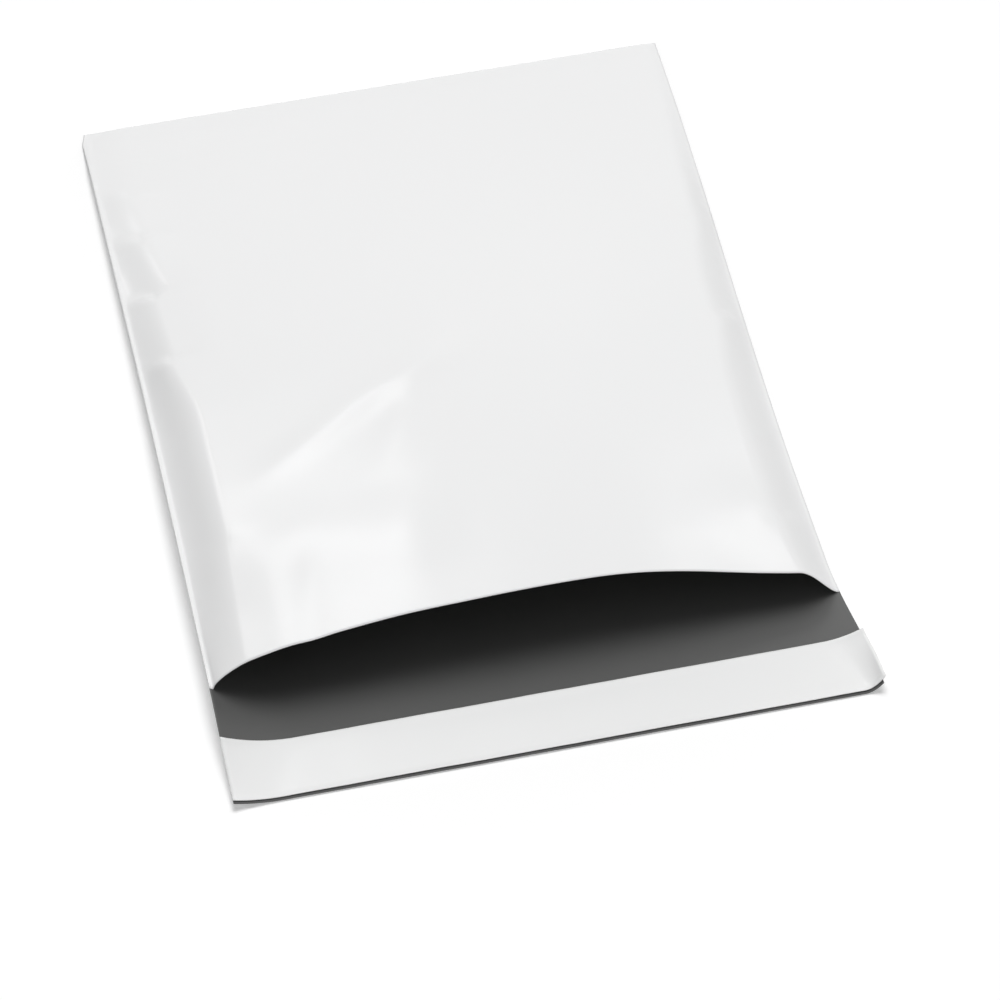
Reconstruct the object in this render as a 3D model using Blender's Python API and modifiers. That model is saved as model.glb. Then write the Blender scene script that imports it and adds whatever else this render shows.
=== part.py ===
"""Poly mailer bag: a folded, side-welded sheet of film with a closing flap, an adhesive strip and its liner.

The bag lies on its back and stands slightly open. +Z is up, +Y runs from the mouth to the bottom fold,
and the origin is on the surface it lies on, at the middle of its length and width.
"""

import math

import bmesh
import bpy
from mathutils import Vector

# The flat bag, in metres
BAG_WIDTH = 0.254
BAG_DEPTH = 0.330
FLAP_LENGTH = 0.050
FILM_THICKNESS = 0.0003
WELD_WIDTH = 0.0015

# The closure on the flap. The liner covers the adhesive and ends just short of the flap's own end
ADHESIVE_WIDTH = 0.020
ADHESIVE_THICKNESS = 0.0002
LINER_OVERHANG = 0.0035
LINER_THICKNESS = 0.0002
LINER_TO_FLAP_END = 0.001
LAYER_GAP = 0.0003

# How the bag stands open: the height of its sides above the welds, and of the crown above the sides
SIDE_HEIGHT_DEEP = 0.0135
SIDE_HEIGHT_MOUTH = 0.0115
CROWN_HEIGHT_DEEP = 0.0050
CROWN_HEIGHT_MOUTH = 0.0147
CREASE_OPENING = 0.0016
MOUTH_DRAW_BACK = 0.0025

# How far the opening draws the right edge in, the share of the bag's depth over which it does, and how far
# before the mouth the film starts to spread out again towards the flap's end
NARROWING = 0.0068
NARROWING_SHARE = 0.85
SPREAD_START = 0.018

# The welds lift off the surface as the bag opens, over this length from the bottom fold
LIFT_LENGTH = 0.270
LEFT_LIFT_DEEP = 0.0150
LEFT_LIFT_MOUTH = 0.0128
RIGHT_LIFT_DEEP = 0.0010
RIGHT_LIFT_MOUTH = 0.0030
LEFT_LIFT_REACH = 0.034
RIGHT_LIFT_REACH = 0.022

# The ends of the open flap
FLAP_LEFT_LIFT = 0.0030
FLAP_RIGHT_LIFT = 0.0060
FLAP_LEFT_REACH = 0.020
FLAP_RIGHT_REACH = 0.008
FLAP_RIGHT_INSET = 0.0023

# The crown's shape across the bag, as shares of the width
CROWN_CENTRE = 0.606
CROWN_LEFT_SPAN = 0.574
CROWN_RIGHT_SPAN = 0.397
CROWN_RIGHT_POWER = 2.06

# The flanks rise from the welds to the crown. A higher power leaves the weld flatter
LEFT_FLANK = 0.0215
LEFT_FLANK_POWER = 1.35
RIGHT_FLANK = 0.0158
RIGHT_FLANK_POWER = 1.5

# The bag opens over this length, past the flat strip beside the bottom fold
FLAT_AT_FOLD = 0.006
OPENING_LENGTH = 0.195
CREASE_LENGTH = 0.003
CREASE_END = 0.006

# Puckers down the left flank: where each starts, how narrow the flank is there, and the lengths over which it
# fans out to its full width and draws in again before the next
PUCKER_STARTS = (0.048, 0.080, 0.118, 0.156)
PUCKER_FLANK = 0.0110
PUCKER_FAN = 0.030
PUCKER_DRAW = 0.008

# The mesh: columns across the film, rows along it, and how far the columns crowd to the edges
FILM_COLUMNS = 22
CREASE_ROWS = 3
BAG_ROWS = 34
FLAP_ROWS = 5
STRIP_ROWS = 3
EDGE_CROWDING = 0.85

# Points of the two walls that meet are made one within this distance, and slopes are measured over this step
MERGE_DISTANCE = 0.00001
SLOPE_STEP = 0.0001

FILM_WHITE = (0.86, 0.865, 0.87, 1.0)
FILM_ROUGHNESS = 0.32
ADHESIVE_CLEAR = (0.62, 0.58, 0.46, 1.0)
ADHESIVE_ROUGHNESS = 0.40
LINER_WHITE = (0.80, 0.80, 0.79, 1.0)
LINER_ROUGHNESS = 0.25

SHEET_LENGTH = BAG_DEPTH + FLAP_LENGTH
FOLD_Y = SHEET_LENGTH / 2
HALF_WIDTH = BAG_WIDTH / 2
WELD_SHARE = WELD_WIDTH / BAG_WIDTH
LINER_WIDTH = ADHESIVE_WIDTH + 2 * LINER_OVERHANG
LINER_START = SHEET_LENGTH - LINER_TO_FLAP_END - LINER_WIDTH
ADHESIVE_START = LINER_START + LINER_OVERHANG
ADHESIVE_LIFT = FILM_THICKNESS / 2 + LAYER_GAP + ADHESIVE_THICKNESS / 2
LINER_LIFT = ADHESIVE_LIFT + ADHESIVE_THICKNESS / 2 + LAYER_GAP + LINER_THICKNESS / 2


def smooth(t):
    """0 to 1 with level ends."""
    t = min(max(t, 0.0), 1.0)
    return t * t * (3.0 - 2.0 * t)


def mix(a, b, t):
    return a + (b - a) * t


def mouth_share(along):
    """How far a place is from the bottom fold to the mouth, 0 to 1."""
    return min(along / BAG_DEPTH, 1.0)


def flap_share(along):
    """How far a place is out along the flap, 0 to 1."""
    return min(max((along - BAG_DEPTH) / FLAP_LENGTH, 0.0), 1.0)


def opened(along, length):
    """How far the bag has opened at this distance from the bottom fold, 0 to 1, if it takes length."""
    return smooth((along - FLAT_AT_FOLD) / length)


def side_x(along):
    """The left and right edges of the film. The bag is drawn narrower as it opens, and the flap less so."""
    narrowing = NARROWING * smooth(mouth_share(along) / NARROWING_SHARE)
    spread = (along - BAG_DEPTH + SPREAD_START) / (FLAP_LENGTH + SPREAD_START)
    narrowing = mix(narrowing, FLAP_RIGHT_INSET, smooth(spread))
    return -HALF_WIDTH, HALF_WIDTH - narrowing


def edge_lift(along):
    """How high the left and right edges stand, and how far in from each the film leaves the surface."""
    start = opened(along, LIFT_LENGTH)
    left = start * mix(LEFT_LIFT_DEEP, LEFT_LIFT_MOUTH, mouth_share(along))
    right = start * mix(RIGHT_LIFT_DEEP, RIGHT_LIFT_MOUTH, mouth_share(along))
    out = smooth(flap_share(along))
    return (
        (mix(left, FLAP_LEFT_LIFT, out), mix(LEFT_LIFT_REACH, FLAP_LEFT_REACH, out)),
        (mix(right, FLAP_RIGHT_LIFT, out), mix(RIGHT_LIFT_REACH, FLAP_RIGHT_REACH, out)),
    )


def back_point(share, along):
    """A point in the middle of the back wall's film: share 0 to 1 across it, along from the bottom fold."""
    left_x, right_x = side_x(along)
    x = mix(left_x, right_x, share)
    z = FILM_THICKNESS / 2
    for inward, (lift, reach) in zip((x - left_x, right_x - x), edge_lift(along)):
        z += lift * max(1.0 - inward / reach, 0.0) ** 2
    return Vector((x, FOLD_Y - along, z))


def crown(share):
    """The dome across the front wall, 0 at its feet and 1 at its top."""
    if share < CROWN_CENTRE:
        return max(1.0 - ((CROWN_CENTRE - share) / CROWN_LEFT_SPAN) ** 2, 0.0)
    return max(1.0 - ((share - CROWN_CENTRE) / CROWN_RIGHT_SPAN) ** 2, 0.0) ** CROWN_RIGHT_POWER


def flank(inward, width, power):
    """The side of the opened bag, which rises from the weld and rounds over into the front, 0 to 1."""
    return math.sin(min(max(inward / width, 0.0), 1.0) * math.pi / 2) ** power


def left_flank_width(along):
    """The left flank's width. It is narrow where a pucker starts, and fans out towards the mouth."""
    fanned = 1.0
    for start in PUCKER_STARTS:
        past = along - start
        if past > -PUCKER_DRAW:
            fanned = smooth(past / PUCKER_FAN) if past > 0.0 else smooth(-past / PUCKER_DRAW)
    return mix(PUCKER_FLANK, LEFT_FLANK, fanned)


def crease(along):
    """The small round that the film makes as it turns over at the bottom fold."""
    return CREASE_OPENING * math.sqrt(1.0 - max(1.0 - along / CREASE_LENGTH, 0.0) ** 2)


def front_point(share, along):
    """A point in the middle of the front wall's film, which meets the back wall at the welds and the fold."""
    between = mix(WELD_SHARE, 1.0 - WELD_SHARE, share)
    left_foot, right_foot = back_point(WELD_SHARE, along), back_point(1.0 - WELD_SHARE, along)
    base = back_point(between, along)
    inward_left, inward_right = base.x - left_foot.x, right_foot.x - base.x
    sides = flank(inward_left, left_flank_width(along), LEFT_FLANK_POWER)
    sides *= flank(inward_right, RIGHT_FLANK, RIGHT_FLANK_POWER)
    nearness = smooth(mouth_share(along))
    side_height = mix(SIDE_HEIGHT_DEEP, SIDE_HEIGHT_MOUTH, nearness)
    crown_height = mix(CROWN_HEIGHT_DEEP, CROWN_HEIGHT_MOUTH, nearness)
    rise = opened(along, OPENING_LENGTH) * (side_height * sides + crown_height * crown(share))
    ends = flank(inward_left, CREASE_END, 1.0) * flank(inward_right, CREASE_END, 1.0)
    turned = crease(along) * ends
    z = mix(left_foot.z, right_foot.z, share) + turned + rise
    drawn = MOUTH_DRAW_BACK * mouth_share(along) ** 2 * crown(share)
    return Vector((base.x, FOLD_Y - along + drawn, max(z, base.z)))


def crowded(count):
    """count + 1 shares from 0 to 1 that lie closer together at both ends."""
    even = [i / count for i in range(count + 1)]
    return [mix(s, (1.0 - math.cos(math.pi * s)) / 2, EDGE_CROWDING) for s in even]


def film_shares():
    """The columns of the whole film: the front wall's own, and one more outside each weld."""
    inner = [mix(WELD_SHARE, 1.0 - WELD_SHARE, s) for s in crowded(FILM_COLUMNS)]
    return [0.0, *inner, 1.0]


def sheet_grid(bm, shares, alongs, place):
    """Adds a flat grid to the mesh and moves each of its points to where place puts it."""
    columns, rows = len(shares), len(alongs)
    made = bmesh.ops.create_grid(bm, x_segments=columns - 1, y_segments=rows - 1, size=1.0)
    for vert in made["verts"]:
        column = round((vert.co.x + 1.0) / 2 * (columns - 1))
        row = round((vert.co.y + 1.0) / 2 * (rows - 1))
        vert.co = place(shares[column], alongs[row])


def new_object(name, bm, material, collection):
    mesh = bpy.data.meshes.new(name)
    bm.to_mesh(mesh)
    bm.free()
    mesh.shade_smooth()
    mesh.materials.append(material)
    obj = bpy.data.objects.new(name, mesh)
    collection.objects.link(obj)
    return obj


def add_thickness(obj, thickness, mode):
    """Gives a sheet its thickness, half on each side. NON_MANIFOLD is for walls that meet along a weld."""
    solidify = obj.modifiers.new("Thickness", "SOLIDIFY")
    solidify.solidify_mode = mode
    solidify.thickness = thickness
    solidify.offset = 0.0
    solidify.use_even_offset = True
    solidify.nonmanifold_thickness_mode = "CONSTRAINTS"


def make_material(name, colour, roughness):
    material = bpy.data.materials.new(name)
    material.use_nodes = True
    shader = material.node_tree.nodes["Principled BSDF"]
    shader.inputs["Base Color"].default_value = colour
    shader.inputs["Roughness"].default_value = roughness
    shader.inputs["Metallic"].default_value = 0.0
    return material


def make_film_bag(material, collection):
    """The whole film: back wall with flap, and front wall, joined along both welds and the bottom fold."""
    bm = bmesh.new()
    crease_rows = [CREASE_LENGTH * (i / CREASE_ROWS) ** 2 for i in range(CREASE_ROWS)]
    bag_rows = crease_rows + [mix(CREASE_LENGTH, BAG_DEPTH, i / BAG_ROWS) for i in range(BAG_ROWS + 1)]
    flap_rows = [BAG_DEPTH + FLAP_LENGTH * i / FLAP_ROWS for i in range(1, FLAP_ROWS + 1)]
    sheet_grid(bm, film_shares(), bag_rows + flap_rows, back_point)
    sheet_grid(bm, crowded(FILM_COLUMNS), bag_rows, front_point)
    bmesh.ops.remove_doubles(bm, verts=bm.verts, dist=MERGE_DISTANCE)
    bag = new_object("film_bag", bm, material, collection)
    add_thickness(bag, FILM_THICKNESS, "NON_MANIFOLD")


def film_normal(share, along):
    """The direction straight up from the back wall's film."""
    before, past = max(share - SLOPE_STEP, 0.0), min(share + SLOPE_STEP, 1.0)
    across = back_point(past, along) - back_point(before, along)
    down = back_point(share, along + SLOPE_STEP) - back_point(share, along - SLOPE_STEP)
    return down.cross(across).normalized()


def make_flap_strip(name, start, width, thickness, lift, material, collection):
    """A strip right across the flap, whose middle lies lift above the middle of the film."""

    def place(share, along):
        return back_point(share, along) + film_normal(share, along) * lift

    bm = bmesh.new()
    sheet_grid(bm, film_shares(), [start + width * i / STRIP_ROWS for i in range(STRIP_ROWS + 1)], place)
    strip = new_object(name, bm, material, collection)
    add_thickness(strip, thickness, "EXTRUDE")


def main():
    for obj in list(bpy.data.objects):
        bpy.data.objects.remove(obj)
    collection = bpy.data.collections.new("poly_mailer_bag")
    bpy.context.scene.collection.children.link(collection)
    film = make_material("white_film", FILM_WHITE, FILM_ROUGHNESS)
    adhesive = make_material("clear_adhesive", ADHESIVE_CLEAR, ADHESIVE_ROUGHNESS)
    liner = make_material("release_liner", LINER_WHITE, LINER_ROUGHNESS)
    make_film_bag(film, collection)
    make_flap_strip(
        "adhesive_strip",
        ADHESIVE_START,
        ADHESIVE_WIDTH,
        ADHESIVE_THICKNESS,
        ADHESIVE_LIFT,
        adhesive,
        collection,
    )
    make_flap_strip("release_liner", LINER_START, LINER_WIDTH, LINER_THICKNESS, LINER_LIFT, liner, collection)


main()
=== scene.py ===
"""Poly mailer bag: a folded, side-welded sheet of white film with a dark inside, lying on its back with its
mouth slightly open and its flap laid out in front, an adhesive strip on the flap and the liner over it.

All lengths are in metres. The bag lies on z = 0, with its bottom fold at the far end (+Y) and its flap at the
near end. "Along" is a distance from the bottom fold, and "inward" is a distance from a side edge.
"""

import math

import bmesh
import bpy
from mathutils import Matrix, Vector


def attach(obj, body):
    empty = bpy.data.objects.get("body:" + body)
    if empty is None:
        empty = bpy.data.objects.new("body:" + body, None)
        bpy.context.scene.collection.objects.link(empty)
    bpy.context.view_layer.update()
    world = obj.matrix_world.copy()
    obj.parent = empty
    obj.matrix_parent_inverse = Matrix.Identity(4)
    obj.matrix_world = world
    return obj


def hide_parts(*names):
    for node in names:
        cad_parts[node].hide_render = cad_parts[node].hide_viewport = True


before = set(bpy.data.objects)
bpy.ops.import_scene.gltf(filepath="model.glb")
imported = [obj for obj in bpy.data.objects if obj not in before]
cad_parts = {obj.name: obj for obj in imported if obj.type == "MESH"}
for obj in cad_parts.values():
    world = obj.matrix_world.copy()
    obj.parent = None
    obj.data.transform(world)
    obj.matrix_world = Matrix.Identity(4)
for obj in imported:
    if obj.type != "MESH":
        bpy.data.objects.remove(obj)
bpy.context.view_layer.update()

# Sizes of the bag

BAG_WIDTH = 0.254
BAG_DEPTH = 0.330
FLAP_LENGTH = 0.050
FOLD_Y = (BAG_DEPTH + FLAP_LENGTH) / 2
FILM_THICKNESS = 0.00015
WELD_WIDTH = 0.0015

ADHESIVE_WIDTH = 0.020
ADHESIVE_THICKNESS = 0.00015
FILM_TO_ADHESIVE = 0.00002
LINER_OVERHANG = 0.0035
LINER_THICKNESS = 0.00012
LINER_TO_FLAP_END = 0.001
LINER_WIDTH = ADHESIVE_WIDTH + 2 * LINER_OVERHANG
LINER_START = BAG_DEPTH + FLAP_LENGTH - LINER_TO_FLAP_END - LINER_WIDTH
LINER_EDGE_CURL = 0.0006
ADHESIVE_TO_LINER = 0.00003

# How the film lies. Each of these becomes a named input of the node trees

LIE = {
    "Side Height Deep": 0.0135,
    "Side Height Mouth": 0.0115,
    "Crown Height Deep": 0.0050,
    "Crown Height Mouth": 0.0147,
    "Crease Opening": 0.0016,
    "Mouth Draw Back": 0.0025,
    "Narrowing": 0.0068,
    "Left Lift Fold": 0.0041,
    "Left Corner Tuck": 0.0015,
    "Left Lift Deep": 0.0150,
    "Left Lift Mouth": 0.0120,
    "Right Lift Deep": 0.0010,
    "Right Lift Mouth": 0.0030,
    "Flap Left Lift": 0.0030,
    "Flap Right Lift": 0.0060,
    "Film Thickness": FILM_THICKNESS,
}

# Distances along the bag over which its shape comes and goes

FLAT_AT_FOLD = 0.006
OPENING_LENGTH = 0.195
CREASE_LENGTH = 0.003
NARROWING_LENGTH = 0.85 * BAG_DEPTH
SPREAD_START = 0.018
LIFT_LENGTH = 0.270
FOLD_LIFT_RISE, FOLD_LIFT_FALL, FOLD_LIFT_END = 0.030, 0.050, 0.190
TUCK_LENGTH, TUCK_FADE = 0.007, 0.165

# Distances inward over which the edges lift, the sides rise and the crease rounds off

LEFT_LIFT_REACH, RIGHT_LIFT_REACH = 0.034, 0.022
FLAP_LEFT_REACH, FLAP_RIGHT_REACH = 0.020, 0.008
REST_WIDTH = 0.034
CREASE_END, CREASE_END_MOUTH = 0.006, 0.018

# The powers that round the crease's ends, and how far in the flap's right end lies

CREASE_LEFT_POWER, CREASE_RIGHT_POWER = 1.3, 1.4
FLAP_RIGHT_INSET = 0.0023

# The weld's edge droops a little, and the droop fades out over the last length before the mouth

WELD_DROOP, WELD_DROOP_REACH = 0.0007, 0.0025
WELD_DROOP_END = 0.020

# Low ripples in the flap. They start a little before the mouth and are full a little past it

FLAP_RIPPLE, FLAP_RIPPLE_MIDDLE = 0.00035, 0.0004
FLAP_RIPPLE_BEFORE, FLAP_RIPPLE_AFTER = 0.004, 0.020

# The crown across the front, as shares of the width

CROWN_CENTRE, CROWN_LEFT_SPAN, CROWN_RIGHT_SPAN = 0.606, 0.574, 0.397
CROWN_RIGHT_POWER = 2.06
CROWN_FOOT = 0.07

# The lobes between the puckers down each weld. Each row has where the lobe starts along the bag, and then
# three pairs, at its start and past its fanning length: its share of the side's height, its width, and the
# power that rounds its foot

LEFT_LOBES = (
    (0.000, (0.60, 0.60), (0.0140, 0.0140), (1.20, 1.20)),
    (0.044, (1.70, 0.45), (0.0140, 0.0180), (1.10, 1.60)),
    (0.074, (1.35, 0.55), (0.0165, 0.0205), (1.20, 2.00)),
    (0.112, (0.74, 0.66), (0.0130, 0.0145), (1.10, 1.15)),
    (0.155, (0.86, 1.06), (0.0120, 0.0196), (1.40, 1.45)),
    (0.262, (0.97, 0.76), (0.0184, 0.0154), (1.38, 1.00)),
    (0.300, (0.76, 0.78), (0.0152, 0.0148), (0.95, 0.37)),
)
RIGHT_LOBES = (
    (0.000, (1.00, 1.00), (0.0095, 0.0095), (1.20, 1.20)),
    (0.036, (1.00, 0.90), (0.0085, 0.0110), (1.10, 1.20)),
    (0.112, (0.80, 0.90), (0.0100, 0.0170), (1.10, 1.30)),
    (0.176, (0.85, 1.00), (0.0140, 0.0200), (1.20, 1.40)),
    (0.290, (0.95, 1.00), (0.0175, 0.0158), (1.40, 1.50)),
)
LOBE_FAN = 0.048
LOBE_ONSET = 0.0045
LOBE_CURVE = 45.0
LOBE_CURVE_REACH = 0.012

# The packing folds in the front. Each row has the fold's two ends, as x and along, its height and its width

PACKING_FOLDS = (
    (-0.001, 0.160, -0.053, 0.335, 0.00062, 0.016),
    (-0.002, 0.190, -0.048, 0.2125, 0.00150, 0.0095),
    (-0.045, 0.212, -0.084, 0.239, 0.00065, 0.007),
    (-0.018, 0.200, -0.040, 0.246, 0.00060, 0.007),
    (-0.030, 0.290, -0.100, 0.281, 0.00075, 0.018),
    (-0.080, 0.287, -0.087, 0.340, -0.00078, 0.006),
    (0.080, 0.290, 0.124, 0.312, 0.00110, 0.018),
    (0.078, 0.060, 0.052, 0.180, -0.00030, 0.022),
    (0.070, 0.200, 0.055, 0.290, -0.00030, 0.020),
)
FOLD_FADE_BEFORE, FOLD_FADE = 0.015, 0.020
SAG_HEIGHT, DIMPLE_HEIGHT = 0.00030, 0.00007
FOLDS_FREE_FROM, FOLDS_FREE_LEFT, FOLDS_FREE_RIGHT = 0.004, 0.030, 0.026
FOLDS_FREE_START, FOLDS_FREE_END = 0.010, 0.050

# The fine gathers beside each weld

GATHER_HEIGHT, FINE_GATHER_HEIGHT = 0.00016, 0.00008
GATHER_INSET, GATHER_LEFT_WIDTH, GATHER_RIGHT_WIDTH = 0.0040, 0.0040, 0.0030
GATHERS_START, GATHERS_FULL = 0.015, 0.050

# The front lies at least this many film thicknesses above the back, past this distance along

TOUCHING_GAP, TOUCHING_START = 1.1, 0.0004


# Node trees


class Field:
    """A number that varies over a mesh or a surface, held by a socket. It adds up as numbers do."""

    def __init__(self, tree, socket):
        self.tree = tree
        self.socket = socket

    def math(self, operation, *others):
        node = self.tree.nodes.new("ShaderNodeMath")
        node.operation = operation
        for slot, value in zip(node.inputs, (self, *others)):
            plug(value, slot)
        return Field(self.tree, node.outputs[0])

    def __add__(self, other):
        return self.math("ADD", other)

    def __sub__(self, other):
        return self.math("SUBTRACT", other)

    def __mul__(self, other):
        return self.math("MULTIPLY", other)

    def __truediv__(self, other):
        return self.math("DIVIDE", other)

    def __pow__(self, other):
        return self.math("POWER", other)

    def __neg__(self):
        return self * -1.0

    def __radd__(self, other):
        return self + other

    def __rmul__(self, other):
        return self * other

    def __rsub__(self, other):
        return -self + other

    def at_least(self, other):
        return self.math("MAXIMUM", other)

    def at_most(self, other):
        return self.math("MINIMUM", other)


def plug(value, slot):
    """Feeds a slot from a field, or sets it to a plain value."""
    if isinstance(value, Field):
        value.tree.links.new(value.socket, slot)
    else:
        slot.default_value = value


def node_field(tree, kind, output=0, settings=(), **inputs):
    """Adds a node. Its settings and inputs are given by name, and one output comes back as a field."""
    node = tree.nodes.new(kind)
    for name, value in dict(settings).items():
        setattr(node, name, value)
    for name, value in inputs.items():
        plug(value, node.inputs[name.replace("_", " ")])
    return Field(tree, node.outputs[output])


def split(place):
    """The x and y of a place."""
    parts = place.tree.nodes.new("ShaderNodeSeparateXYZ")
    plug(place, parts.inputs[0])
    return Field(place.tree, parts.outputs[0]), Field(place.tree, parts.outputs[1])


def mix(a, b, t):
    return a + (b - a) * t


def ramp(value, start, end):
    """0 before start and 1 past end, with level ends."""
    node = value.tree.nodes.new("ShaderNodeMapRange")
    node.interpolation_type = "SMOOTHSTEP"
    for slot, number in zip(node.inputs, (value, start, end, 0.0, 1.0)):
        plug(number, slot)
    return Field(value.tree, node.outputs[0])


def hump(value, centre, width):
    """A rounded hump that is 1 at its centre and nearly 0 past about twice its width."""
    off = (value - centre) / width
    return (-(off * off)).math("EXPONENT")


def waver(tree, scale, pattern, x=0.0, y=0.0, detail=1.0):
    """Smooth noise, mostly between -1 and 1. Each number for pattern gives other noise."""
    place = node_field(tree, "ShaderNodeCombineXYZ", X=x, Y=y, Z=0.0)
    noise = node_field(
        tree,
        "ShaderNodeTexNoise",
        settings={"noise_dimensions": "4D"},
        Vector=place,
        W=pattern,
        Scale=scale,
        Detail=detail,
        Roughness=0.5,
    )
    return (noise - 0.5) * 3.0


def new_tree(name, sizes):
    """A geometry tree with a named input for each size, and those inputs as fields."""
    tree = bpy.data.node_groups.new(name, "GeometryNodeTree")
    tree.interface.new_socket("Geometry", in_out="INPUT", socket_type="NodeSocketGeometry")
    tree.interface.new_socket("Geometry", in_out="OUTPUT", socket_type="NodeSocketGeometry")
    for size, value in sizes.items():
        socket = tree.interface.new_socket(size, in_out="INPUT", socket_type="NodeSocketFloat")
        socket.default_value = value
        socket.subtype = "DISTANCE"
    start = tree.nodes.new("NodeGroupInput")
    return tree, start.outputs["Geometry"], {size: Field(tree, start.outputs[size]) for size in sizes}


def finish_tree(tree, geometry, x, y, z, material):
    """Moves the mesh's points to x, y, z, gives it its material and ends the tree."""
    place = node_field(tree, "ShaderNodeCombineXYZ", X=x, Y=y, Z=z)
    moved = tree.nodes.new("GeometryNodeSetPosition")
    smooth = tree.nodes.new("GeometryNodeSetShadeSmooth")
    real = tree.nodes.new("GeometryNodeRealizeInstances")
    finish = tree.nodes.new("GeometryNodeSetMaterial")
    end = tree.nodes.new("NodeGroupOutput")
    finish.inputs["Material"].default_value = material
    plug(place, moved.inputs["Position"])
    tree.links.new(geometry, moved.inputs["Geometry"])
    tree.links.new(moved.outputs[0], smooth.inputs[0])
    tree.links.new(smooth.outputs[0], real.inputs[0])
    tree.links.new(real.outputs[0], finish.inputs["Geometry"])
    tree.links.new(finish.outputs[0], end.inputs[0])


# The shape of the film


def film_edges(along, size):
    """The x of the film's left and right edges. The bottom fold tucks the left corner in."""
    fade = (1.0 - along / TUCK_FADE).at_least(0.0)
    past_tuck = size["Left Corner Tuck"] * ramp(along, 0.0, TUCK_LENGTH) * fade
    narrowing = size["Narrowing"] * ramp(along, 0.0, NARROWING_LENGTH)
    spread = ramp(along, BAG_DEPTH - SPREAD_START, BAG_DEPTH + FLAP_LENGTH)
    return -BAG_WIDTH / 2 - past_tuck, BAG_WIDTH / 2 - mix(narrowing, FLAP_RIGHT_INSET, spread)


def on_film(flat_x, along, size):
    """The x on the laid-out film of a point at flat_x on the flat sheet."""
    left_x, right_x = film_edges(along, size)
    return left_x + (flat_x / BAG_WIDTH + 0.5) * (right_x - left_x)


def edge_lifts(along, size):
    """How high each edge of the back wall and flap stands, and how far in it leaves the surface."""
    start = ramp(along, FLAT_AT_FOLD, FLAT_AT_FOLD + LIFT_LENGTH)
    share = (along / BAG_DEPTH).at_most(1.0)
    out = ramp(along, BAG_DEPTH, BAG_DEPTH + FLAP_LENGTH)
    by_fold = ramp(along, 0.0, FOLD_LIFT_RISE) * (1.0 - ramp(along, FOLD_LIFT_FALL, FOLD_LIFT_END))
    left = start * mix(size["Left Lift Deep"], size["Left Lift Mouth"], share)
    left = left + by_fold * size["Left Lift Fold"]
    right = start * mix(size["Right Lift Deep"], size["Right Lift Mouth"], share)
    return (
        (mix(left, size["Flap Left Lift"], out), mix(LEFT_LIFT_REACH, FLAP_LEFT_REACH, out)),
        (mix(right, size["Flap Right Lift"], out), mix(RIGHT_LIFT_REACH, FLAP_RIGHT_REACH, out)),
    )


def back_height(x, along, size):
    """The height of the back wall and flap, and how steeply they climb to their edges."""
    left_x, right_x = film_edges(along, size)
    height, slope = size["Film Thickness"] / 2, 0.0
    in_bag = 1.0 - ramp(along, BAG_DEPTH - WELD_DROOP_END, BAG_DEPTH)
    for inward, (lift, reach) in zip((x - left_x, right_x - x), edge_lifts(along, size)):
        near = (1.0 - inward / reach).at_least(0.0)
        height = height + lift * near * near
        slope = slope + lift * near * 2.0 / reach
        tip = (1.0 - inward / WELD_DROOP_REACH).at_least(0.0)
        height = height - lift.at_most(WELD_DROOP) * tip * tip * in_bag
    flap = ramp(along, BAG_DEPTH - FLAP_RIPPLE_BEFORE, BAG_DEPTH + FLAP_RIPPLE_AFTER)
    ripple = waver(x.tree, scale=22.0, pattern=4.0, x=x, y=along * 0.25) * FLAP_RIPPLE
    ripple = ripple + FLAP_RIPPLE_MIDDLE
    return height + flap * ripple.at_least(0.0), slope


def flank(inward, width, power):
    """The side of the opened bag, from the weld up to the front, 0 to 1."""
    turn = (inward / width).at_least(0.0).at_most(1.0) * (math.pi / 2)
    return turn.math("SINE") ** power


def puckered_flank(along, inward, lobes):
    """A flank, 0 to 1, in lobes. Each starts with a soft curved pucker at the weld and fans out."""
    near = inward.at_least(0.0).at_most(LOBE_CURVE_REACH)
    curved = along - near * near * LOBE_CURVE
    share, width, power = (pair[0] for pair in lobes[0][1:])
    for start, shares, widths, powers in lobes[1:]:
        fanned = ramp(along, start, start + LOBE_FAN)
        begun = ramp(curved, start - LOBE_ONSET, start + LOBE_ONSET)
        share = mix(share, mix(*shares, fanned), begun)
        width = mix(width, mix(*widths, fanned), begun)
        power = mix(power, mix(*powers, fanned), begun)
    return share * flank(inward, width, power) + (1.0 - share) * ramp(inward, 0.0, REST_WIDTH)


def crown(across):
    """The dome across the front, 0 at its feet and 1 at its top. across is a share of the width."""
    left = ((across - CROWN_CENTRE) / CROWN_LEFT_SPAN).at_most(0.0)
    right = ((across - CROWN_CENTRE) / CROWN_RIGHT_SPAN).at_least(0.0)
    left_dome = 1.0 - left * left
    left_dome = (left_dome + (left_dome * left_dome + CROWN_FOOT**2).math("SQRT")) * 0.5
    right_dome = (1.0 - right * right).at_least(0.0) ** CROWN_RIGHT_POWER
    return left_dome * right_dome


def soft_folds(tree, x, along):
    """The front's soft unevenness and its packing folds."""
    sags = waver(tree, scale=12.0, pattern=1.0, x=x, y=along * 0.5) * SAG_HEIGHT
    dimples = waver(tree, scale=34.0, pattern=8.0, x=x, y=along) * DIMPLE_HEIGHT
    height = sags + dimples
    for start_x, start, end_x, end, rise, width in PACKING_FOLDS:
        length = math.hypot(end_x - start_x, end - start)
        run_x, run_along = (end_x - start_x) / length, (end - start) / length
        down = (x - start_x) * run_x + (along - start) * run_along
        off = (x - start_x) * run_along - (along - start) * run_x
        begun = ramp(down, -FOLD_FADE_BEFORE, FOLD_FADE)
        ended = ramp(down, length - FOLD_FADE, length + FOLD_FADE)
        height = height + hump(off, 0.0, width) * (begun * (1.0 - ended)) * rise
    return height


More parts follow.
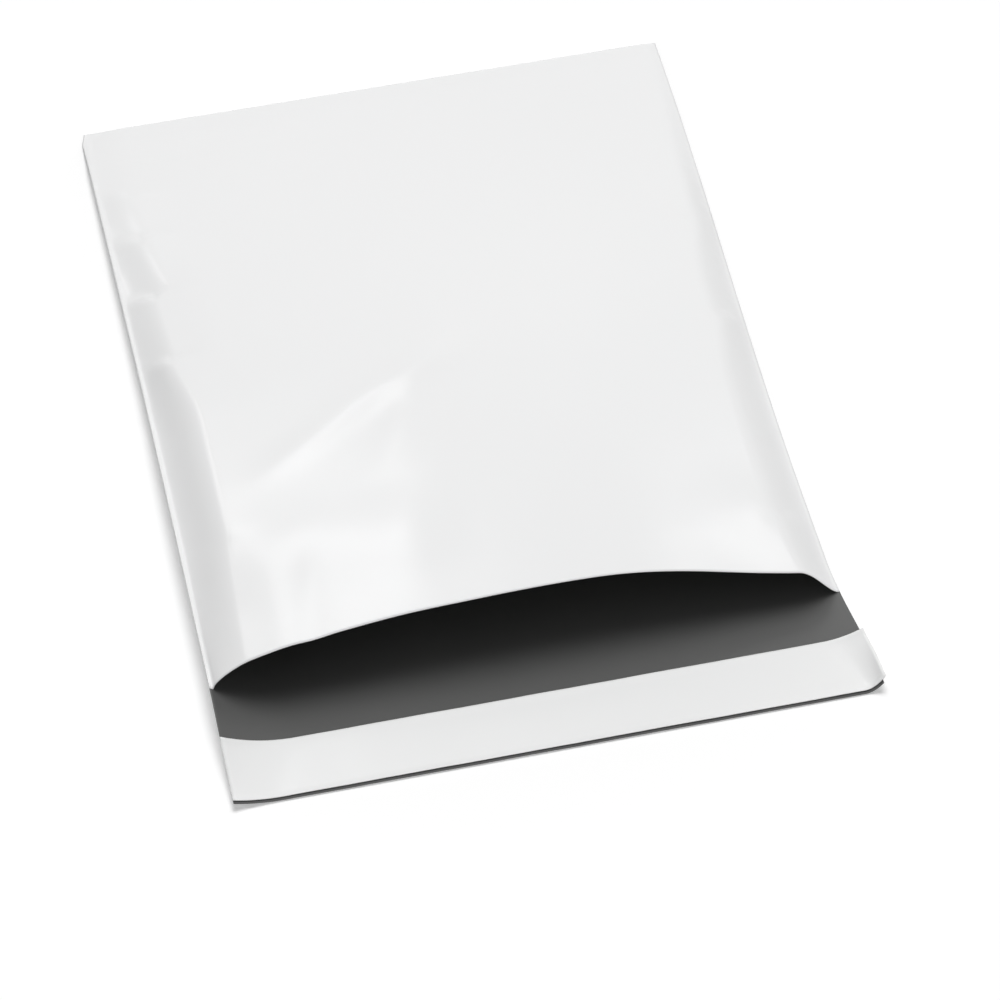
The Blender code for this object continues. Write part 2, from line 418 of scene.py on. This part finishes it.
def weld_gathers(tree, x, along, inward_left, inward_right):
    """Fine gathers in the front beside each weld."""
    wide = waver(tree, scale=90.0, pattern=2.0, y=along) * GATHER_HEIGHT
    fine = waver(tree, scale=230.0, pattern=3.0, x=x * 0.5, y=along) * FINE_GATHER_HEIGHT
    beside_left = hump(inward_left, GATHER_INSET, GATHER_LEFT_WIDTH)
    beside_right = hump(inward_right, GATHER_INSET, GATHER_RIGHT_WIDTH)
    return (wide + fine) * (beside_left + beside_right) * ramp(along, GATHERS_START, GATHERS_FULL)


def front_place(x, along, size):
    """A point of the front: how far it is drawn towards the fold, and its height above the back."""
    tree = x.tree
    left_x, right_x = film_edges(along, size)
    width = right_x - left_x
    inward_left = x - left_x - WELD_WIDTH
    inward_right = right_x - x - WELD_WIDTH
    across = (inward_left / (width - 2 * WELD_WIDTH)).at_least(0.0).at_most(1.0)
    left_foot, _ = back_height(left_x + WELD_WIDTH, along, size)
    right_foot, _ = back_height(right_x - WELD_WIDTH, along, size)
    under, _ = back_height(x, along, size)

    left_side = puckered_flank(along, inward_left, LEFT_LOBES)
    right_side = puckered_flank(along, inward_right, RIGHT_LOBES)
    near_mouth = ramp(along, 0.0, BAG_DEPTH)
    side_height = mix(size["Side Height Deep"], size["Side Height Mouth"], near_mouth)
    crown_height = mix(size["Crown Height Deep"], size["Crown Height Mouth"], near_mouth)
    opened = ramp(along, FLAT_AT_FOLD, FLAT_AT_FOLD + OPENING_LENGTH)
    rise = opened * (side_height * (left_side * right_side) + crown_height * crown(across))

    turning = (1.0 - along / CREASE_LENGTH).at_least(0.0)
    left_end = flank(inward_left, CREASE_END_MOUTH, CREASE_LEFT_POWER)
    right_reach = mix(CREASE_END, CREASE_END_MOUTH, opened)
    right_end = flank(inward_right, right_reach, mix(1.0, CREASE_RIGHT_POWER, opened))
    turned = size["Crease Opening"] * (1.0 - turning * turning).math("SQRT") * (left_end * right_end)

    free = ramp(inward_left, FOLDS_FREE_FROM, FOLDS_FREE_LEFT)
    free = free * ramp(inward_right, FOLDS_FREE_FROM, FOLDS_FREE_RIGHT)
    folds = soft_folds(tree, x, along) * free * ramp(along, FOLDS_FREE_START, FOLDS_FREE_END)
    gathers = weld_gathers(tree, x, along, inward_left, inward_right)

    height = mix(left_foot, right_foot, across) + turned + rise + folds + gathers
    touching = under + size["Film Thickness"] * TOUCHING_GAP * ramp(along, 0.0, TOUCHING_START)
    share = (along / BAG_DEPTH).at_most(1.0)
    drawn = size["Mouth Draw Back"] * share * share * crown(across)
    return drawn, height.at_least(touching)


def film_tree(material):
    """Folds the flat sheet at the bottom of the bag, and opens it."""
    tree, geometry, size = new_tree("Folded film", LIE)
    flat_x, flat_y = split(node_field(tree, "GeometryNodeInputPosition"))
    along = (BAG_DEPTH - flat_y).math("ABSOLUTE")
    is_front = 1.0 - flat_y.math("GREATER_THAN", BAG_DEPTH)
    x = on_film(flat_x, along, size)
    under, _ = back_height(x, along, size)
    drawn, over = front_place(x, along, size)
    y = FOLD_Y - along + drawn * is_front
    z = mix(under, over, is_front)
    finish_tree(tree, geometry, x, y, z, material)
    return tree


def strip_tree(name, sizes, material):
    """Lays a flat strip on the flap, its middle at the size Lift above the film and its edges curled up."""
    tree, geometry, size = new_tree(name, sizes)
    flat_x, along = split(node_field(tree, "GeometryNodeInputPosition"))
    x = on_film(flat_x, along, size)
    under, slope = back_height(x, along, size)
    steepness = (slope * slope + 1.0).math("SQRT")
    middle = LINER_START + LINER_WIDTH / 2
    edge = ((along - middle).math("ABSOLUTE") - ADHESIVE_WIDTH / 2) / LINER_OVERHANG
    uneven = waver(tree, scale=30.0, pattern=6.0, x=x) * 0.3 + 0.8
    curl = size["Edge Curl"] * edge.at_least(0.0) ** 1.5 * uneven
    z = under + (size["Lift"] + curl) * steepness
    finish_tree(tree, geometry, x, FOLD_Y - along, z, material)
    return tree


# Flat sheets, and what makes them pieces


def bands(*parts):
    """Places from 0 up, in bands of (length, steps)."""
    places = [0.0]
    for length, steps in parts:
        start = places[-1]
        places += [start + length * (i + 1) / steps for i in range(steps)]
    return places


def flat_sheet(name, columns, rows):
    """A flat sheet with points at these places across and along. Its UV map holds the flat sheet's metres."""
    bm = bmesh.new()
    uv = bm.loops.layers.uv.new("Flat")
    grid = [[bm.verts.new((x - BAG_WIDTH / 2, y, 0.0)) for x in columns] for y in rows]
    for lower, upper in zip(grid, grid[1:]):
        for i in range(len(columns) - 1):
            face = bm.faces.new((lower[i], lower[i + 1], upper[i + 1], upper[i]))
            for loop in face.loops:
                loop[uv].uv = (loop.vert.co.x + BAG_WIDTH / 2, loop.vert.co.y)
    mesh = bpy.data.meshes.new(name)
    bm.to_mesh(mesh)
    bm.free()
    sheet = bpy.data.objects.new(name, mesh)
    bpy.context.scene.collection.objects.link(sheet)
    return sheet


def shaped(flat, tree, sizes, thickness, materials):
    """Runs the tree on the flat sheet and gives it its thickness, as one plain closed mesh.

    The first material is for its outer side, and the last for its inner side and its cut edges.
    """
    form = flat.modifiers.new("Form", "NODES")
    form.node_group = tree
    for item in tree.interface.items_tree:
        if item.in_out == "INPUT" and item.name in sizes:
            form[item.identifier] = sizes[item.name]
    wall = flat.modifiers.new("Thickness", "SOLIDIFY")
    wall.thickness = thickness
    wall.offset = 0.0
    wall.use_even_offset = False
    outer_faces = len(flat.data.polygons)
    evaluated = flat.evaluated_get(bpy.context.evaluated_depsgraph_get())
    mesh = bpy.data.meshes.new_from_object(evaluated)
    flat.modifiers.clear()
    mesh.name = flat.name
    mesh.materials.clear()
    for material in materials:
        mesh.materials.append(material)
    inner_faces = len(mesh.polygons) - outer_faces
    mesh.polygons.foreach_set("material_index", [0] * outer_faces + [len(materials) - 1] * inner_faces)
    flat.data = mesh
    return flat


# Finishes. Each varies between two colours

FILM_WHITE = (0.858, 0.860, 0.862), (0.882, 0.884, 0.886)
FILM_GREY = (0.088, 0.089, 0.088), (0.112, 0.113, 0.111)
LINER_WHITE = (0.880, 0.884, 0.884), (0.905, 0.908, 0.906)
ADHESIVE_YELLOW = (0.58, 0.54, 0.42), (0.66, 0.62, 0.50)

CLOUD_STRENGTH = 0.3

FILM_ROUGHNESS, FILM_ROUGHNESS_LEAST = 0.20, 0.15
INSIDE_ROUGHNESS, LINER_ROUGHNESS, ADHESIVE_ROUGHNESS = 0.44, 0.24, 0.38

WELD_RIB_PITCH, WELD_RIB_FADE = 0.0009, 0.0006
ADHESIVE_LINE_PITCH = 0.0008
DRAW_LINE_SCALE, DRAW_LINE_STRETCH = 420.0, 0.03
OUTSIDE_BUMP, INSIDE_BUMP, LINER_BUMP, ADHESIVE_BUMP = 0.000012, 0.000008, 0.00006, 0.00002


def new_finish(name, **sockets):
    """A material whose shader has these plain values, its tree and its shader."""
    material = bpy.data.materials.new(name)
    material.use_nodes = True
    shader = material.node_tree.nodes["Principled BSDF"]
    for socket, value in sockets.items():
        shader.inputs[socket.replace("_", " ")].default_value = value
    return material, material.node_tree, shader


def on_sheet(tree):
    """Where a point is on the flat sheet, in metres across and along."""
    return split(node_field(tree, "ShaderNodeUVMap", settings={"uv_map": "Flat"}))


def coloured(tree, shader, cloud, shades):
    """Colours the surface between its two shades, as the cloud varies."""
    node = tree.nodes.new("ShaderNodeMix")
    node.data_type = "RGBA"
    plug(cloud * CLOUD_STRENGTH + 0.5, node.inputs[0])
    for slot, shade in zip((node.inputs[6], node.inputs[7]), shades):
        slot.default_value = (*shade, 1.0)
    tree.links.new(node.outputs[2], shader.inputs["Base Color"])


def bumped(tree, shader, height, distance):
    """Raises and lowers the surface by height, times distance in metres."""
    bump = node_field(tree, "ShaderNodeBump", Strength=1.0, Distance=distance, Height=height)
    plug(bump, shader.inputs["Normal"])


def film_draw_lines(tree, pattern, across, along):
    """The faint lines that the film was drawn with, along its roll."""
    y = along * DRAW_LINE_STRETCH
    return waver(tree, scale=DRAW_LINE_SCALE, pattern=pattern, x=across, y=y, detail=2.0)


def film_outside_finish():
    """White film: soft gloss, faint draw lines along the roll, and the seal bar's fine ribs in each weld."""
    material, tree, shader = new_finish("film_white_outside", IOR=1.50)
    across, along = on_sheet(tree)
    cloud = waver(tree, scale=9.0, pattern=1.0, x=across, y=along * 0.6, detail=3.0)
    coloured(tree, shader, cloud, FILM_WHITE)
    patches = waver(tree, scale=16.0, pattern=2.0, x=across, y=along * 0.5, detail=2.0)
    fine = waver(tree, scale=900.0, pattern=3.0, x=across, y=along, detail=2.0)
    roughness = FILM_ROUGHNESS + patches * 0.03 + fine * 0.015
    plug(roughness.at_least(FILM_ROUGHNESS_LEAST), shader.inputs["Roughness"])
    draw_lines = film_draw_lines(tree, 4.0, across, along)
    peel = waver(tree, scale=260.0, pattern=5.0, x=across, y=along, detail=2.0)
    to_edge = across.at_most(BAG_WIDTH - across)
    in_weld = 1.0 - ramp(to_edge, WELD_WIDTH, WELD_WIDTH + WELD_RIB_FADE)
    ribs = (along * (2 * math.pi / WELD_RIB_PITCH)).math("SINE")
    bumped(tree, shader, draw_lines * 0.3 + peel * 0.25 + ribs * in_weld * 3.0, OUTSIDE_BUMP)
    return material


def film_inside_finish():
    """The dark grey inner layer of the film, a little duller than the outside."""
    material, tree, shader = new_finish("film_grey_inside", IOR=1.50)
    across, along = on_sheet(tree)
    cloud = waver(tree, scale=11.0, pattern=7.0, x=across, y=along, detail=3.0)
    coloured(tree, shader, cloud, FILM_GREY)
    patches = waver(tree, scale=40.0, pattern=8.0, x=across, y=along, detail=2.0)
    plug(INSIDE_ROUGHNESS + patches * 0.04, shader.inputs["Roughness"])
    bumped(tree, shader, film_draw_lines(tree, 9.0, across, along), INSIDE_BUMP)
    return material


def liner_finish():
    """Off-white liner film with a smooth release side and shallow ripples."""
    material, tree, shader = new_finish("liner_off_white", IOR=1.46)
    across, along = on_sheet(tree)
    cloud = waver(tree, scale=14.0, pattern=11.0, x=across, y=along, detail=2.0)
    coloured(tree, shader, cloud, LINER_WHITE)
    patches = waver(tree, scale=60.0, pattern=12.0, x=across, y=along, detail=2.0)
    plug(LINER_ROUGHNESS + patches * 0.03, shader.inputs["Roughness"])
    ripples = waver(tree, scale=55.0, pattern=13.0, x=across, y=along * 0.4, detail=2.0)
    bumped(tree, shader, ripples, LINER_BUMP)
    return material


def adhesive_finish():
    """Clear pressure-sensitive adhesive, slightly yellow, laid down in fine lines."""
    material, tree, shader = new_finish("adhesive_clear_yellow", IOR=1.48)
    across, along = on_sheet(tree)
    cloud = waver(tree, scale=70.0, pattern=14.0, x=across, y=along, detail=2.0)
    coloured(tree, shader, cloud, ADHESIVE_YELLOW)
    plug(ADHESIVE_ROUGHNESS + cloud * 0.05, shader.inputs["Roughness"])
    lines = (along * (2 * math.pi / ADHESIVE_LINE_PITCH)).math("SINE")
    bumped(tree, shader, lines + cloud, ADHESIVE_BUMP)
    return material


# The pieces. Points lie closer where the film bends more: beside the welds, by the puckers and at the fold.
# The film's columns end 1 mm short of its right edge

WELD_BAND, SIDE_BAND, MIDDLE_BAND = (WELD_WIDTH, 2), (0.026, 30), (0.198, 70)
FRONT_ROWS = bands((0.290, 190), (0.034, 24), (0.004, 6), (0.002, 8))
BACK_ROWS = bands((0.002, 4), (0.028, 14), (0.270, 40), (0.030, 12), (FLAP_LENGTH, 26))
STRIP_COLUMNS = bands((0.020, 10), (0.204, 60), (0.030, 30))
ADHESIVE_BAND, OVERHANG_BAND = (ADHESIVE_WIDTH, 8), (LINER_OVERHANG, 5)

outside, inside = film_outside_finish(), film_inside_finish()
liner_film, adhesive_glue = liner_finish(), adhesive_finish()

film_columns = bands(WELD_BAND, SIDE_BAND, MIDDLE_BAND, SIDE_BAND, WELD_BAND)
film_rows = FRONT_ROWS + [BAG_DEPTH + y for y in BACK_ROWS[1:]]
film = shaped(
    flat_sheet("film", film_columns, film_rows),
    film_tree(outside),
    LIE,
    FILM_THICKNESS,
    [outside, inside],
)

adhesive_lift = FILM_THICKNESS / 2 + ADHESIVE_THICKNESS / 2 + FILM_TO_ADHESIVE
adhesive_sizes = {**LIE, "Lift": adhesive_lift, "Edge Curl": 0.0}
adhesive_rows = [LINER_START + LINER_OVERHANG + y for y in bands(ADHESIVE_BAND)]
adhesive = shaped(
    flat_sheet("adhesive", STRIP_COLUMNS, adhesive_rows),
    strip_tree("Adhesive on flap", adhesive_sizes, adhesive_glue),
    adhesive_sizes,
    ADHESIVE_THICKNESS,
    [adhesive_glue],
)

liner_lift = adhesive_lift + ADHESIVE_THICKNESS / 2 + LINER_THICKNESS / 2 + ADHESIVE_TO_LINER
liner_sizes = {**LIE, "Lift": liner_lift, "Edge Curl": LINER_EDGE_CURL}
liner_rows = [LINER_START + y for y in bands(OVERHANG_BAND, ADHESIVE_BAND, OVERHANG_BAND)]
liner = shaped(
    flat_sheet("liner", STRIP_COLUMNS, liner_rows),
    strip_tree("Liner on flap", liner_sizes, liner_film),
    liner_sizes,
    LINER_THICKNESS,
    [liner_film],
)

for piece, node, slot in (
    (film, "film_bag", "film"),
    (adhesive, "adhesive_strip", "adhesive"),
    (liner, "release_liner", "liner"),
):
    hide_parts(node)
    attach(piece, "root")

# Floor, light and camera. Angles are in degrees, and the lens and sensor in millimetres

FLOOR_SIZE = 6.0
FLOOR_Z = -0.0003
FLOOR_COLOUR = 0.90
FLOOR_ROUGHNESS = 0.9
FLOOR_WHITE = 1.008
WORLD_STRENGTH = 0.30
LAMP_STRENGTH = 0.733
LAMP_SIZE = 1.1
LAMP_DISTANCE = 2.0
LAMP_DIRECTION = Vector((0.10, 0.16, 1.0)).normalized()
LARGE_LAMP_SHARE = 0.913

# The lamps seen only in the gloss: name, direction, width, height and radiance

GLOSS_LAMPS = (
    ("gloss_back", (-0.128, 0.602, 0.788), 0.68, 0.36, 3.2),
    ("gloss_right", (0.543, 0.548, 0.636), 0.26, 0.28, 3.2),
    ("gloss_left", (-0.395, 0.657, 0.643), 0.56, 0.44, 2.2),
)

CAMERA_AZIMUTH, CAMERA_ELEVATION, CAMERA_ROLL = -10.78, 47.46, -1.93
CAMERA_TARGET = Vector((0.0026, -0.0598, 0.0))
CAMERA_DISTANCE = 1.730
CAMERA_LENS, CAMERA_SENSOR = 157.07, 36.0


def lamp_light(tree):
    """The soft lamp's light at each place of the floor, as a share of LAMP_STRENGTH."""
    x, y = split(node_field(tree, "ShaderNodeTexCoord", output="Object"))
    lamp = LAMP_DIRECTION * LAMP_DISTANCE
    to_lamp_x = lamp.x - x
    to_lamp_y = lamp.y - y
    facing = to_lamp_x * LAMP_DIRECTION.x + to_lamp_y * LAMP_DIRECTION.y + lamp.z * LAMP_DIRECTION.z
    distance_squared = to_lamp_x * to_lamp_x + to_lamp_y * to_lamp_y + lamp.z**2
    point_lamp = facing * (lamp.z * LAMP_DISTANCE**2) / (distance_squared * distance_squared)
    return point_lamp * LARGE_LAMP_SHARE


def make_floor():
    """A white floor. The camera sees it evenly white, and darker only where the bag shades it."""
    bm = bmesh.new()
    bmesh.ops.create_grid(bm, x_segments=1, y_segments=1, size=FLOOR_SIZE / 2)
    bmesh.ops.translate(bm, verts=bm.verts, vec=(0.0, 0.0, FLOOR_Z))
    mesh = bpy.data.meshes.new("floor")
    bm.to_mesh(mesh)
    bm.free()
    floor = bpy.data.objects.new("floor", mesh)
    bpy.context.scene.collection.objects.link(floor)
    colour = (FLOOR_COLOUR, FLOOR_COLOUR, FLOOR_COLOUR, 1.0)
    material, tree, shader = new_finish("floor_white", Base_Color=colour, Roughness=FLOOR_ROUGHNESS)
    shader.inputs["Specular IOR Level"].default_value = 0.0
    shader.inputs["Emission Color"].default_value = (1.0, 1.0, 1.0, 1.0)
    path = tree.nodes.new("ShaderNodeLightPath")
    camera_ray = Field(tree, path.outputs["Is Camera Ray"])
    lit = (lamp_light(tree) * LAMP_STRENGTH + WORLD_STRENGTH) * FLOOR_COLOUR
    plug(camera_ray * (FLOOR_WHITE - lit), shader.inputs["Emission Strength"])
    mesh.materials.append(material)


def make_world():
    """A white world that gives little light, and is white where the camera or a reflection meets it."""
    world = bpy.data.worlds.new("studio")
    bpy.context.scene.world = world
    world.use_nodes = True
    tree = world.node_tree
    background = tree.nodes["Background"]
    background.inputs["Color"].default_value = (1.0, 1.0, 1.0, 1.0)
    path = tree.nodes.new("ShaderNodeLightPath")
    seen = Field(tree, path.outputs["Is Camera Ray"])
    for ray in ("Is Glossy Ray", "Is Transmission Ray"):
        seen = seen.at_least(Field(tree, path.outputs[ray]))
    plug(mix(WORLD_STRENGTH, 1.0, seen), background.inputs["Strength"])


def make_lamp(name, direction, width, height, radiance):
    """A soft lamp that faces the bag from this direction."""
    lamp = bpy.data.lights.new(name, "AREA")
    lamp.shape = "RECTANGLE"
    lamp.size, lamp.size_y = width, height
    lamp.energy = radiance * math.pi * width * height
    direction = Vector(direction).normalized()
    lamp_object = bpy.data.objects.new(name, lamp)
    lamp_object.location = direction * LAMP_DISTANCE
    lamp_object.rotation_mode = "QUATERNION"
    lamp_object.rotation_quaternion = direction.to_track_quat("Z", "Y")
    bpy.context.scene.collection.objects.link(lamp_object)
    return lamp_object


def make_lamps():
    """One large soft lamp overhead for the light itself, and dim ones behind for the gloss alone."""
    radiance = LAMP_STRENGTH * math.pi * LAMP_DISTANCE**2 / LAMP_SIZE**2
    soft_lamp = make_lamp("soft_lamp", LAMP_DIRECTION, LAMP_SIZE, LAMP_SIZE, radiance)
    soft_lamp.visible_glossy = False
    for gloss_lamp in GLOSS_LAMPS:
        make_lamp(*gloss_lamp).visible_diffuse = False


def make_camera():
    """A camera that looks from the photograph's side."""
    azimuth, elevation, roll = (math.radians(a) for a in (CAMERA_AZIMUTH, CAMERA_ELEVATION, CAMERA_ROLL))
    level_share = math.cos(elevation)
    back = Vector((math.sin(azimuth) * level_share, -math.cos(azimuth) * level_share, math.sin(elevation)))
    level = (-back).cross(Vector((0.0, 0.0, 1.0))).normalized()
    upright = level.cross(-back)
    right = math.cos(roll) * level + math.sin(roll) * upright
    up = math.cos(roll) * upright - math.sin(roll) * level
    camera = bpy.data.cameras.new("camera")
    camera.sensor_width = CAMERA_SENSOR
    camera.lens = CAMERA_LENS
    camera_object = bpy.data.objects.new("camera", camera)
    placed = Matrix((right, up, back)).transposed().to_4x4()
    placed.translation = CAMERA_TARGET + back * CAMERA_DISTANCE
    camera_object.matrix_world = placed
    bpy.context.scene.collection.objects.link(camera_object)
    bpy.context.scene.camera = camera_object


make_floor()
make_world()
make_lamps()
make_camera()
bpy.context.scene.view_settings.view_transform = "Standard"
